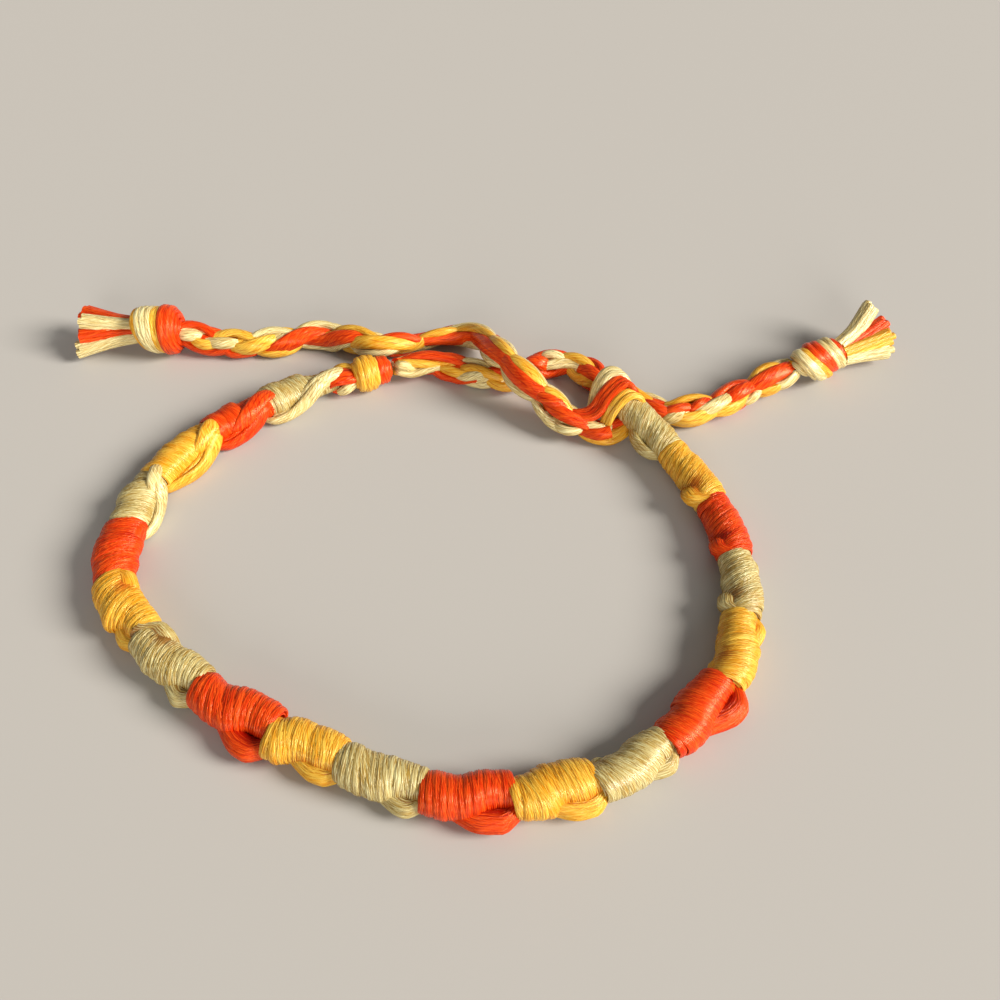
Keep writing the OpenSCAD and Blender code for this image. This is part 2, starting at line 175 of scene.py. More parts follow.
def strand_tree():
    """Geometry Nodes tree that sweeps a flattened and finely grooved strand of floss along each guide."""
    tree = bpy.data.node_groups.new("Floss strand", "GeometryNodeTree")
    for name, kind in (
        ("Guides", "Geometry"),
        ("Sides", "Int"),
        ("Crowding", "Float"),
        ("Plies", "Int"),
        ("Groove", "Float"),
        ("Twist", "Float"),
        ("Wander", "Float"),
        *((name, "Material") for name in FLOSS_INPUTS),
    ):
        tree.interface.new_socket(name, in_out="INPUT", socket_type="NodeSocket" + kind)
    tree.interface.new_socket("Strands", in_out="OUTPUT", socket_type="NodeSocketGeometry")
    given = add_node(tree, "NodeGroupInput").outputs
    kept = {
        name: add_node(tree, "GeometryNodeInputNamedAttribute", {"Name": name}, data_type=kind)
        for kind, names in (
            ("FLOAT_VECTOR", ("middle", "along", "flat_way")),
            ("FLOAT", ("half_wide", "half_thick", "run", "turn", "crease_shade")),
            ("INT", ("number", "dye")),
        )
        for name in names
    }
    # A ring of sides round each guide, which keeps its turn round the strand
    ring = add_node(
        tree, "GeometryNodeCurvePrimitiveCircle", {"Resolution": given["Sides"], "Radius": MM}
    )
    index = add_node(tree, "GeometryNodeInputIndex")
    share = add_node(tree, "ShaderNodeMath", {0: index, 1: given["Sides"]}, operation="DIVIDE")
    even = add_node(tree, "ShaderNodeMath", {0: share, 1: 2 * math.pi}, operation="MULTIPLY")
    # Crowding draws the sides together on the face that shows
    crowd = add_node(tree, "ShaderNodeMath", {0: even}, operation="COSINE")
    turn = add_node(
        tree, "ShaderNodeMath", {0: crowd, 1: given["Crowding"], 2: even}, operation="MULTIPLY_ADD"
    )
    ring = add_node(
        tree, "GeometryNodeStoreNamedAttribute", {"Geometry": ring, "Name": "turn", "Value": turn}
    )
    guide = add_node(tree, "GeometryNodeMeshToCurve", {"Mesh": given["Guides"]})
    swept = add_node(
        tree, "GeometryNodeCurveToMesh", {"Curve": guide, "Profile Curve": ring, "Fill Caps": True}
    )
    # The oval of the strand, and the way that its surface faces
    cosine = add_node(tree, "ShaderNodeMath", {0: kept["turn"]}, operation="COSINE")
    sine = add_node(tree, "ShaderNodeMath", {0: kept["turn"]}, operation="SINE")
    side_way = add_node(
        tree, "ShaderNodeVectorMath", {0: kept["flat_way"], 1: kept["along"]}, operation="CROSS_PRODUCT"
    )
    axes = ((cosine, kept["half_wide"], side_way), (sine, kept["half_thick"], kept["flat_way"]))
    sums = []
    for operation in ("MULTIPLY", "DIVIDE"):
        parts = {}
        for k, (part, half, way) in enumerate(axes):
            size = add_node(tree, "ShaderNodeMath", {0: part, 1: half}, operation=operation)
            parts[k] = add_node(tree, "ShaderNodeVectorMath", {0: way, "Scale": size}, operation="SCALE")
        sums.append(add_node(tree, "ShaderNodeVectorMath", parts, operation="ADD"))
    oval, outward = sums
    outward = add_node(tree, "ShaderNodeVectorMath", {0: outward}, operation="NORMALIZE")
    # Grooves between the plies, which wander and swell a little over each 2 mm
    way = add_node(tree, "ShaderNodeMath", {0: kept["run"], 1: 0.5}, operation="MULTIPLY")
    where = add_node(tree, "ShaderNodeCombineXYZ", {0: way, 1: kept["number"]})
    wave = add_node(tree, "ShaderNodeTexNoise", {"Vector": where, "Scale": 1.0, "Detail": 1.0})
    wave = add_node(tree, "ShaderNodeSeparateXYZ", {0: wave.outputs["Color"]})
    drift = add_node(
        tree, "ShaderNodeMath", {0: wave.outputs[0], 1: given["Wander"]}, operation="MULTIPLY"
    )
    half_plies = add_node(tree, "ShaderNodeMath", {0: given["Plies"], 1: 0.5}, operation="MULTIPLY")
    phase = add_node(
        tree, "ShaderNodeMath", {0: kept["turn"], 1: half_plies, 2: drift}, operation="MULTIPLY_ADD"
    )
    crest = add_node(tree, "ShaderNodeMath", {0: phase}, operation="COSINE")
    crest = add_node(tree, "ShaderNodeMath", {0: crest}, operation="ABSOLUTE")
    swell = add_node(
        tree, "ShaderNodeMath", {0: wave.outputs[1], 1: 1.2, 2: -1.4}, operation="MULTIPLY_ADD"
    )
    lift = add_node(tree, "ShaderNodeMath", {0: crest, 1: swell}, operation="ADD")
    lift = add_node(tree, "ShaderNodeMath", {0: lift, 1: given["Groove"]}, operation="MULTIPLY")
    lift = add_node(tree, "ShaderNodeVectorMath", {0: outward, "Scale": lift}, operation="SCALE")
    place = add_node(tree, "ShaderNodeVectorMath", {0: kept["middle"], 1: oval}, operation="ADD")
    place = add_node(tree, "ShaderNodeVectorMath", {0: place, 1: lift}, operation="ADD")
    made = add_node(tree, "GeometryNodeSetPosition", {"Geometry": swept, "Position": place})
    # What the material reads: the turn round the twisted strand, the run along it, and the crests less
    # the
    #     painted crease shade
    swirl = {0: kept["run"], 1: given["Twist"], 2: kept["turn"]}
    swirl = add_node(tree, "ShaderNodeMath", swirl, operation="MULTIPLY_ADD")
    across = add_node(tree, "ShaderNodeMath", {0: swirl}, operation="COSINE")
    over = add_node(tree, "ShaderNodeMath", {0: swirl}, operation="SINE")
    lay = add_node(tree, "ShaderNodeCombineXYZ", {0: across, 1: over, 2: kept["run"]})
    crest_less_crease_shade = add_node(tree, "ShaderNodeMath", {0: crest, 1: kept["crease_shade"]}, operation="SUBTRACT")
    for name, value, kind in (("crest", crest_less_crease_shade, "FLOAT"), ("lay", lay, "FLOAT_VECTOR")):
        stored = {"Geometry": made, "Name": name, "Value": value}
        made = add_node(tree, "GeometryNodeStoreNamedAttribute", stored, data_type=kind)
    made = add_node(tree, "GeometryNodeRealizeInstances", {0: made})
    for k, name in enumerate(FLOSS_INPUTS):
        is_dye = add_node(
            tree, "FunctionNodeCompare", {2: kept["dye"], 3: k}, data_type="INT", operation="EQUAL"
        )
        dyed = {"Geometry": made, "Selection": is_dye, "Material": given[name]}
        made = add_node(tree, "GeometryNodeSetMaterial", dyed)
    add_node(tree, "NodeGroupOutput", {0: made})
    return tree


STRAND_TREE = strand_tree()


def unit(v):
    """v at length 1, row by row."""
    return v / np.linalg.norm(v, axis=-1, keepdims=True)


def lengths_along(points):
    """How far along their line each of the points lies."""
    return np.concatenate([[0], np.cumsum(np.linalg.norm(np.diff(points, axis=0), axis=1))])


def strand(middle, flat_way, half_wide, half_thick, dye, closed=False, crease_shade=0):
    """One strand's guide line in millimetres, with the way that its flat side faces. Its last argument is
    painted shade, how far its colour is deepened where its neighbours lie against it."""
    middle = np.asarray(middle, float)
    if closed:
        along = np.roll(middle, -1, axis=0) - np.roll(middle, 1, axis=0)
    else:
        along = np.gradient(middle, axis=0)
    along = unit(along)
    flat_way = np.broadcast_to(np.asarray(flat_way, float), middle.shape)
    flat_way = unit(flat_way - (flat_way * along).sum(1, keepdims=True) * along)
    n = len(middle)
    # Each strand has its own place in the filament pattern, and is a little lighter or darker
    own_place = floss_chance.uniform(0, 400)
    own_tone = floss_chance.uniform(-0.15, 0.15)
    return {
        "middle": middle,
        "along": along,
        "flat_way": flat_way,
        "half_wide": np.broadcast_to(np.asarray(half_wide, float), (n,)),
        "half_thick": np.broadcast_to(np.asarray(half_thick, float), (n,)),
        "run": lengths_along(middle) + own_place,
        "crease_shade": np.broadcast_to(np.asarray(crease_shade, float), (n,)),
        "tone": np.full(n, own_tone),
        "number": floss_chance.randrange(4000),
        "dye": dye,
        "closed": closed,
    }


def lay_floss(name, strands, floss, sides=24, crowding=0.0, plies=8, groove=0.08, twist=0.5):
    """Sweeps the strands with the strand tree and returns the piece as a plain mesh. crowding is how far
    the sides draw together, groove is in millimetres and twist in radians a millimetre."""
    points, edges = [], []
    for s in strands:
        first, n = len(points), len(s["middle"])
        points.extend(s["middle"] * MM)
        edges.extend((first + k, first + k + 1) for k in range(n - 1))
        if s["closed"]:
            edges.append((first + n - 1, first))
    guide = bpy.data.meshes.new(name + "_guide")
    guide.from_pydata([tuple(p) for p in points], edges, [])
    for key, kind, scale in (
        ("middle", "FLOAT_VECTOR", MM),
        ("along", "FLOAT_VECTOR", 1),
        ("flat_way", "FLOAT_VECTOR", 1),
        ("half_wide", "FLOAT", MM),
        ("half_thick", "FLOAT", MM),
        ("run", "FLOAT", 1),
        ("tone", "FLOAT", 1),
        ("crease_shade", "FLOAT", 1),
    ):
        field = "vector" if kind == "FLOAT_VECTOR" else "value"
        values = np.concatenate([s[key] for s in strands]) * scale
        guide.attributes.new(key, kind, "POINT").data.foreach_set(field, values.ravel())
    for key in ("dye", "number"):
        values = np.concatenate([np.full(len(s["middle"]), s[key], np.int32) for s in strands])
        guide.attributes.new(key, "INT", "POINT").data.foreach_set("value", values)
    piece = bpy.data.objects.new(name, guide)
    bpy.context.scene.collection.objects.link(piece)
    modifier = piece.modifiers.new("floss", "NODES")
    modifier.node_group = STRAND_TREE
    given = {
        "Sides": sides,
        "Crowding": crowding,
        "Plies": plies,
        "Groove": groove * MM,
        "Twist": twist,
        "Wander": PLY_WANDER,
        **dict(zip(FLOSS_INPUTS, floss)),
    }
    for item in STRAND_TREE.interface.items_tree:
        if item.in_out == "INPUT" and item.name in given:
            modifier[item.identifier] = given[item.name]
    bpy.context.view_layer.update()
    depsgraph = bpy.context.evaluated_depsgraph_get()
    made = bpy.data.meshes.new_from_object(piece.evaluated_get(depsgraph), depsgraph=depsgraph)
    made.name = name
    piece.modifiers.clear()
    piece.data = made
    bpy.data.meshes.remove(guide)
    # The materials read only lay, crest and tone
    for key in (
        "middle", "along", "flat_way", "half_wide", "half_thick", "run", "turn", "crease_shade", "dye", "number",
    ):
        if key in made.attributes:
            made.attributes.remove(made.attributes[key])
    made.shade_smooth()
    return piece


def run_on(rows):
    """rows with one more point straight on past each end."""
    return np.vstack([2 * rows[0] - rows[1], rows, 2 * rows[-1] - rows[-2]])


def curve_between(a, b, c, d, t):
    """Points at t, from 0 to 1, of the smooth curve from b to c, with a and d as its next points."""
    bend = (2 * a - 5 * b + 4 * c - d) * t**2 / 2
    return b + (c - a) * t / 2 + bend + (3 * b - a - 3 * c + d) * t**3 / 2


def smooth_route(rows, steps):
    """Points on the smooth curve through rows, steps of them to each span."""
    rows = run_on(np.asarray(rows, float))
    t = np.linspace(0, 1, steps, endpoint=False)[:, None]
    spans = [curve_between(a, b, c, d, t) for a, b, c, d in zip(rows, rows[1:], rows[2:], rows[3:])]
    return np.vstack([*spans, rows[-2:-1]])


def way_out(turn, side, up):
    """The direction at turn, in radians from side towards up."""
    return np.cos(turn)[:, None] * side + np.sin(turn)[:, None] * up


# The lobes of strand that show along each braid: dye, half width and reach from the middle line in
# millimetres, then the place along in millimetres and the turn up from the side in degrees, at the
# lobe's start, middle and end
START_LOBES = [
    (YELLOW, 0.7, 1.3, (5.5, 70), (8, 80), (10, 110)),
    (ORANGE, 0.85, 1.3, (3, 115), (6, 130), (8.5, 165)),
    (PALE, 0.6, 1.7, (3.5, 175), (5, 190), (6.8, 215)),
    (ORANGE, 0.75, 1.35, (6, 70), (8, 120), (10.5, 165)),
    (PALE, 0.75, 1.8, (5.6, 212), (7.8, 205), (10.2, 212)),
    (YELLOW, 0.85, 1.4, (9.5, 105), (12.5, 90), (15.6, 100)),
    (ORANGE, 1.05, 1.35, (8.5, 130), (12.5, 150), (16.5, 140)),
    (PALE, 0.65, 1.8, (9.6, 208), (12.6, 205), (15.7, 205)),
    (YELLOW, 0.65, 1.4, (14.5, 85), (17.5, 97), (21, 95)),
    (ORANGE, 1, 1.35, (14, 138), (19.5, 155), (25, 155)),
    (PALE, 0.55, 1.7, (15.5, 190), (18.5, 195), (22, 200)),
    (YELLOW, 0.6, 1.4, (19.5, 90), (23.5, 103), (28, 105)),
    (ORANGE, 0.9, 1.3, (24, 170), (27.5, 165), (32.5, 140)),
    (PALE, 0.6, 1.4, (21.5, 205), (25, 205), (29, 205)),
    (YELLOW, 0.55, 1.4, (27.5, 108), (30, 117), (32.5, 102)),
    (ORANGE, 0.6, 1.3, (33, 125), (35.5, 85), (38, 78)),
    (YELLOW, 0.9, 1.35, (34, 153), (38, 130), (41.5, 165)),
    (PALE, 0.55, 1.5, (35.5, 160), (38.5, 190), (41.5, 220)),
    (YELLOW, 0.7, 1.45, (38.5, 75), (41.5, 55), (44.2, 90)),
    (ORANGE, 0.95, 1.35, (40, 90), (43.5, 147), (48, 190)),
    (PALE, 0.5, 1.6, (41.5, 165), (45.5, 225), (49, 225)),
    (PALE, 0.55, 1.5, (44, 72), (46.8, 55), (49.5, 85)),
    (ORANGE, 1.1, 1.35, (46.5, 105), (50.3, 155), (54, 225)),
    (YELLOW, 0.65, 1.9, (49.4, 215), (52, 220), (54.5, 225)),
    (PALE, 0.6, 1.4, (50, 95), (52.7, 60), (55.5, 105)),
    (YELLOW, 0.95, 1.35, (52.2, 125), (54.7, 155), (57.5, 182)),
    (ORANGE, 0.7, 1.5, (54.5, 222), (56.7, 228), (59, 192)),
    (YELLOW, 0.8, 1.4, (54.3, 122), (57.3, 65), (60, 123)),
    (PALE, 0.75, 1.4, (56.8, 135), (58.5, 142), (60.8, 155)),
    (YELLOW, 0.7, 1.35, (59.3, 155), (61, 168), (62.5, 165)),
    (ORANGE, 0.8, 1.5, (57.8, 186), (60.9, 225), (64.5, 220)),
    (ORANGE, 0.75, 1.4, (59.5, 108), (62.2, 55), (64.8, 100)),
    (PALE, 0.7, 1.3, (61.7, 123), (63, 144), (64.5, 160)),
]
FINISH_LOBES = [
    (YELLOW, 0.55, 1.3, (0, 75), (3.2, 45), (6, 30)),
    (PALE, 0.6, 1.3, (-0.6, 60), (0.6, 40), (3, 20)),
    (PALE, 0.5, 1.5, (0, -10), (2.5, 0), (6.2, 20)),
    (ORANGE, 0.75, 1.3, (1, 126), (4.5, 96), (8.7, 102)),
    (ORANGE, 0.7, 1.5, (4.7, 0), (7.5, -40), (10.8, -6)),
    (YELLOW, 0.6, 1.3, (5.8, 18), (8.4, 18), (11, 30)),
    (PALE, 0.55, 1.5, (8.2, -5), (10.4, 25), (12.4, 70)),
    (YELLOW, 0.65, 1.3, (9, 57), (11.3, 69), (14, 45)),
    (PALE, 0.6, 1.4, (8, 132), (10.5, 132), (13, 120)),
    (ORANGE, 0.7, 1.3, (12, 110), (14.5, 90), (17.5, 60)),
    (YELLOW, 0.7, 1.4, (12.5, 10), (15, -10), (18, 15)),
    (ORANGE, 0.95, 1.4, (17.5, 138), (18.6, 75), (20, 20)),
    (ORANGE, 0.85, 1.4, (17.9, 10), (20.3, -42), (23.7, 10)),
    (PALE, 0.6, 1.35, (19.5, 126), (21, 90), (23, 58)),
    (PALE, 0.65, 1.35, (18.9, 38), (21.6, 34), (25.2, 60)),
    (YELLOW, 0.75, 1.35, (22, 80), (24.5, 93), (27.5, 84)),
    (YELLOW, 0.85, 1.4, (23.2, 0), (25.7, -12), (28.4, 38)),
    (ORANGE, 0.85, 1.35, (25, 40), (27.1, 66), (29.5, 81)),
    (ORANGE, 0.65, 1.5, (24.3, 132), (26.5, 135), (29, 108)),
    (PALE, 0.7, 1.35, (28, 30), (31, 20), (34, 40)),
    (YELLOW, 0.7, 1.35, (29, 100), (32, 110), (35.5, 95)),
    (PALE, 0.7, 1.4, (33, 0), (35, -20), (38, -10)),
    (ORANGE, 0.8, 1.3, (34.5, 60), (36.5, 42), (38.2, 38)),
    (ORANGE, 0.65, 1.3, (37.3, 42), (38.7, 72), (40.6, 95)),
    (YELLOW, 0.6, 1.75, (37.6, 125), (40.6, 135), (43.2, 115)),
    (ORANGE, 0.6, 1.3, (40, 68), (41.5, 93), (43.5, 130)),
    (PALE, 0.7, 1.3, (37.2, -30), (38.2, 18), (39.8, 60)),
    (YELLOW, 0.95, 1.3, (38.3, 10), (40.8, 14), (43.6, 28)),
    (PALE, 0.8, 1.35, (40.4, 38), (42.8, 54), (46, 78)),
    (ORANGE, 0.85, 1.45, (43, 115), (46.5, 140), (49, 100)),
    (YELLOW, 0.9, 1.35, (42.8, 20), (45.2, 2), (48, -5)),
    (ORANGE, 0.9, 1.3, (44.9, 66), (47.2, 69), (49.3, 72)),
    (PALE, 0.7, 1.35, (47, -30), (48.4, -3), (50.2, 10)),
    (YELLOW, 0.65, 1.5, (49.6, 112), (52, 130), (54, 90)),
    (ORANGE, 1.05, 1.3, (48.6, 63), (51.7, 60), (55, 69)),
    (YELLOW, 1, 1.5, (49.6, -5), (51.8, -20), (54, -20)),
    (PALE, 0.95, 1.6, (51.8, -15), (53.6, -10), (56, 10)),
]


# The strands that run through a braid: the length in which they turn round it once, and their reach,
# half width and half thickness
BRAID_TURN = 12
INNER_REACH, INNER_WIDE, INNER_THICK = 0.55, 0.75, 0.6
# A lobe's points, its reach at its ends and on its far side, its half thickness, how small its ends
# are, and the lowest that it lies
LOBE_POINTS = 15
LOBE_ROOT, LOBE_FAR_SIDE = 0.35, 1.2
LOBE_THICK = 0.52
LOBE_END_SIZE = 0.55
LOBE_LOWEST = 0.75


def braid(route, lobes):
    """The strands of a braid along route: three that run through it, and the lobes that cross over
    them, each with its like on the other side."""
    points = smooth_route(route, 6)
    run = lengths_along(points)
    along = unit(np.gradient(points, axis=0))
    side = unit(np.cross(along, UP))
    up = np.cross(side, along)
    strands = []
    for dye in (PALE, ORANGE, YELLOW):
        out = way_out(2 * math.pi * (run / BRAID_TURN + dye / 3), side, up)
        strands.append(strand(points + INNER_REACH * out, out, INNER_WIDE, INNER_THICK, dye))
    # A lobe dives in a little before its first mark and after its last
    share = np.linspace(-0.16, 1.16, LOBE_POINTS)
    rise = np.sin(np.linspace(0, math.pi, LOBE_POINTS)) ** 0.8
    swell = LOBE_END_SIZE + (1 - LOBE_END_SIZE) * rise
    for dye, half_wide, reach, *marks in lobes:
        place, turn = (np.polyval(np.polyfit((0, 0.5, 1), row, 2), share) for row in zip(*marks))
        middle, side_way, up_way = (
            np.stack([np.interp(place, run, axis) for axis in field.T], axis=1)
            for field in (points, side, up)
        )
        for other, far in ((0, reach), (180, LOBE_FAR_SIDE)):
            out = way_out(np.radians(turn + other), side_way, up_way)
            line = middle + (LOBE_ROOT + (far - LOBE_ROOT) * rise)[:, None] * out
            line[:, 2] = np.maximum(line[:, 2], LOBE_LOWEST)
            strands.append(strand(line, out, half_wide * swell, LOBE_THICK * swell, dye))
    return strands


JOINING_THICK = 0.5
# Strands that come out under the band before they join the braid: dye, half width and points
START_STRANDS = [
    (YELLOW, 0.55, [
        (23.6, 18.8, 1.8), (22.3, 17.8, 1.2), (20.9, 17.15, 0.8), (19.4, 17.1, 0.8), (18, 17.7, 0.9),
        (17.1, 18.5, 1.2), (16.5, 19.3, 1.6),
    ]),
    (YELLOW, 0.65, [
        (23, 18.9, 1.8), (20.9, 17.7, 1.2), (19.3, 17.7, 1.1), (17.9, 18.3, 1.3), (16.5, 19.2, 1.6),
    ]),
    (ORANGE, 0.6, [
        (22.6, 19.3, 2.2), (20.9, 18.6, 2), (19.5, 18.5, 2), (18.1, 18.8, 2), (16.2, 19.4, 2.4),
    ]),
    (PALE, 0.6, [(15.6, 18.5, 1.1), (14.9, 18.5, 1.4), (13.7, 19, 1.9), (12.9, 20, 2.4)]),
]
# Where each braid ends, inside its knot
START_TAIL_END, FINISH_TAIL_END = (-33.6, 34.4, 3), (43.6, 27.9, 2.5)
strands = [
    strand(smooth_route(points, 5), UP, half_wide, JOINING_THICK, dye)
    for dye, half_wide, points in START_STRANDS
]
strands += braid([*START_TAIL, START_TAIL_END], START_LOBES)
start_tail = lay_floss("start_tail_braid", strands, PAINTED_LIT_LOOSE_FLOSS, plies=10, groove=0.06)
strands = braid([*FINISH_TAIL, FINISH_TAIL_END], FINISH_LOBES)
finish_tail = lay_floss("finish_tail_braid", strands, PAINTED_LIT_LOOSE_FLOSS, plies=10, groove=0.06)
for tail, node in ((start_tail, "start_tail"), (finish_tail, "finish_tail")):
    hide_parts(node)
    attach(tail, "root")

# Tail knots
# Each braid ends in an overhand knot, pulled tight, whose strands lie side by side round the tail.
START_TAIL_KNOT = np.array([(-32.5, 34.4, 3.2), (-38.7, 34.4, 3.2)])
FINISH_TAIL_KNOT = np.array([(42, 27.1, 2.5), (51, 31.6, 2.5)])
KNOT_THICK = 0.36
KNOT_LOWEST = 0.42
# A strand that goes round a knot or round the band has its points at these turns, from below
LOOP_TURNS = np.radians(np.arange(-90, 270, 15))


def knot(axis, wraps, half_wide=0.56):
    """Strands round a knot's axis. Each wrap gives its places along the axis at its top and at its
    bottom, as shares of it, its radius and its dye."""
    along = unit(axis[1] - axis[0])
    side = unit(np.cross(along, UP))
    up = np.cross(side, along)
    strands = []
    out = way_out(LOOP_TURNS, side, up)
    for top, bottom, radius, dye in wraps:
        place = bottom + (top - bottom) * (1 + np.sin(LOOP_TURNS)) / 2
        middle = axis[0] + place[:, None] * (axis[1] - axis[0]) + (radius - KNOT_THICK) * out
        middle[:, 2] = np.maximum(middle[:, 2], KNOT_LOWEST)
        strands.append(strand(middle, out, half_wide, KNOT_THICK, dye, closed=True))
    return strands


start_knot = lay_floss(
    "start_tail_overhand_knot",
    knot(
        START_TAIL_KNOT,
        [
            (0.06, 0.04, 1.4, ORANGE), (0.09, 0.06, 2.1, ORANGE), (0.14, 0.09, 2.7, ORANGE),
            (0.21, 0.15, 3.1, ORANGE), (0.3, 0.23, 3.2, ORANGE), (0.4, 0.3, 2.95, YELLOW),
            (0.49, 0.36, 2.95, YELLOW), (0.59, 0.42, 3, PALE), (0.69, 0.47, 3, PALE),
            (0.78, 0.51, 2.95, PALE), (0.85, 0.56, 2.8, YELLOW), (0.89, 0.6, 2.3, YELLOW),
            (0.9, 0.64, 1.4, ORANGE),
        ],
    ),
    PAINTED_LIT_LOOSE_FLOSS,
)
finish_knot = lay_floss(
    "finish_tail_overhand_knot",
    knot(
        FINISH_TAIL_KNOT + (0, -0.6, 0),
        [
            (0.22, 0.46, 1.3, PALE), (0.24, 0.54, 2.1, PALE), (0.27, 0.62, 2.4, PALE),
            (0.34, 0.7, 2.35, YELLOW),
        ],
        0.66,
    )
    + knot(
        FINISH_TAIL_KNOT,
        [
            (0.42, 0.76, 2.35, ORANGE), (0.52, 0.81, 2.3, ORANGE), (0.61, 0.86, 2.2, PALE),
            (0.7, 0.92, 2.25, PALE), (0.78, 0.95, 1.9, ORANGE), (0.84, 0.96, 1.2, YELLOW),
        ],
    ),
    PAINTED_LIT_LOOSE_FLOSS,
)

# Fringes
# Past each knot the strands are cut off short and spread a little, and each keeps to its own dye.
START_FRINGE_TIPS = [(-45.6, 37.5, 3.4), (-45, 34.7, 4.2), (-45.2, 33.4, 2.8), (-45.6, 32.5, 1.5)]
FINISH_FRINGE_TIPS = [(54.8, 36.7, 5), (56.5, 35.3, 3.4), (56.9, 33.1, 3.2), (56.8, 32, 1.9)]
# In each lock, strands lie in a ring round one more: their number, the ring's radius at both ends,
# their half width and half thickness, and how deep in the knot they start
LOCK_RING = 8
RING_NEAR, RING_FAR = 0.6, 0.65
CUT_WIDE, CUT_THICK = 0.5, 0.42
ROOT_DEPTH = 0.8


def fringe(axis, tips, dyes):
    """Cut strands in locks from the far end of a knot, one lock to each tip."""
    out = unit(axis[1] - axis[0])
    root = axis[1] - ROOT_DEPTH * out
    strands = []
    for tip, dye in zip(np.asarray(tips, float), dyes):
        way = tip - root
        across = unit(np.cross(way, UP))
        over = unit(np.cross(across, way))
        # A lock leaves the knot a little to its own side and bends once on the way to its tip
        own_root = root + 0.25 * (way - (way @ out) * out)
        elbow = own_root + 0.4 * np.linalg.norm(way) * unit(out + 1.2 * unit(way))
        for k in range(LOCK_RING + 1):
            turn = 2 * math.pi * k / LOCK_RING
            spread = 0 if k == LOCK_RING else 1
            ring_way = spread * (math.cos(turn) * across + math.sin(turn) * over)
            near, far = RING_NEAR * ring_way, RING_FAR * ring_way
            end = tip + far + unit(way) * floss_chance.uniform(-0.5, 0.3)
            line = smooth_route([own_root + near, elbow + (near + far) / 2, end], 6)
            strands.append(strand(line, over + 0.01 * out, CUT_WIDE, CUT_THICK, dye))
    return strands


start_fringe = lay_floss(
    "start_tail_cut_ends",
    fringe(START_TAIL_KNOT, START_FRINGE_TIPS, [ORANGE, PALE, ORANGE, PALE]),
    PAINTED_LIT_LOOSE_FLOSS,
)
finish_fringe = lay_floss(
    "finish_tail_cut_ends",
    fringe(FINISH_TAIL_KNOT - (0, 0.9, 0), FINISH_FRINGE_TIPS, [PALE, ORANGE, YELLOW, PALE]),
    PAINTED_LIT_LOOSE_FLOSS,
)
for piece, node in (
    (start_knot, "start_tail_knot"),
    (finish_knot, "finish_tail_knot"),
    (start_fringe, "start_tail_fringe"),
    (finish_fringe, "finish_tail_fringe"),
):
    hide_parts(node)
    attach(piece, "root")
# Each tail is one cord, with its knot and its cut ends on it; here only a smooth line along its route is
# worked out, and it is not used
for tail, route, others in (
    (start_tail, START_TAIL, [start_knot, start_fringe]),
    (finish_tail, FINISH_TAIL, [finish_knot, finish_fringe]),
):
    line = smooth_route(route, 4) * MM

# Hitched blocks
# The band is a bundle of strands covered by rows of half hitches, one dye to a block. In each block
# one strand hitches first and the other after it, and the idle one floats along the side.
DYE_NAMES = ("pale", "orange", "yellow")
WRAPS = 15
# Joints between the blocks, in millimetres, from the end with the finishing knot
JOINTS = np.array([
    (-12.5, 26.5, 1.9), (-20, 22, 1.9), (-26, 17.5, 1.9), (-30.6, 10.1, 1.9), (-32.1, 3, 1.9),
    (-31.6, -4.1, 1.9), (-27, -11, 1.9), (-20.5, -16.5, 1.9), (-13, -21.4, 1.9), (-6.4, -24.2, 1.9),
    (1, -26.9, 1.9), (9, -27.5, 1.9), (16.4, -26.2, 1.9), (22.8, -22.3, 1.9), (29.1, -16.1, 1.9),
    (32, -8.6, 1.9), (32.4, -0.9, 1.9), (30.9, 6.7, 1.9), (27.3, 14.2, 2.1), (22.8, 20.2, 3.3),
])
# Columns: dye, share of the block that the first strand hitches, middle and half width of those
# hitches, middle and half width of the second strand's, reach of the float outwards at the end and
# inwards at the start, and the share of the block where the latter dives in
BLOCKS = [
    (PALE, 0.4, 0, 1.7, 0.4, 2.2, 2.2, 3, 0.85),
    (ORANGE, 0.5, 0, 2.1, -0.1, 2, 2.6, 3.1, 1.1),
    (YELLOW, 0.5, 0, 2.1, 0, 2, 2.5, 3.5, 0.85),
    (PALE, 0.5, 0.2, 2.2, 0, 2.1, 2.5, 3.3, 1),
    (ORANGE, 0.7, 0.1, 2.4, -0.1, 2.2, 2.4, 2.5, 0.6),
    (YELLOW, 0.6, 0.2, 2.3, -0.6, 1.8, 2.4, 2.4, 0.6),
    (PALE, 0.7, 0, 2.1, -0.7, 1.8, 2.9, 2.65, 0.65),
    (ORANGE, 0.58, 0.1, 2.1, -1, 2, 3.3, 2.3, 0.3),
    (YELLOW, 0.27, 0.2, 2.2, -0.7, 2, 2.4, 2.4, 0.3),
    (PALE, 0.62, -0.1, 2.1, -0.6, 1.8, 2.5, 2.5, 0.3),
    (ORANGE, 0.62, 0, 2.1, -0.8, 1.9, 3, 2.3, 0.25),
    (YELLOW, 0.4, 0, 2.1, -0.9, 2.1, 2.5, 2.3, 0.3),
    (PALE, 0.65, 0, 2, -0.5, 1.8, 2.5, 2.6, 0.35),
    (ORANGE, 0.5, 0, 2.1, -0.8, 2, 3.2, 2.3, 0.3),
    (YELLOW, 0.6, 0, 2.1, -0.5, 1.9, 2.5, 2.4, 0.35),
    (PALE, 0.55, 0, 2, -0.2, 1.9, 2.3, 2.95, 0.5),
    (ORANGE, 0.55, 0, 2.1, -0.1, 2, 2.3, 2.85, 0.45),
    (YELLOW, 0.55, 0, 2.1, -0.1, 2, 2.3, 3.25, 0.45),
    (PALE, 0.55, 0, 2, 0, 2, 2, 3, 0.6),
]
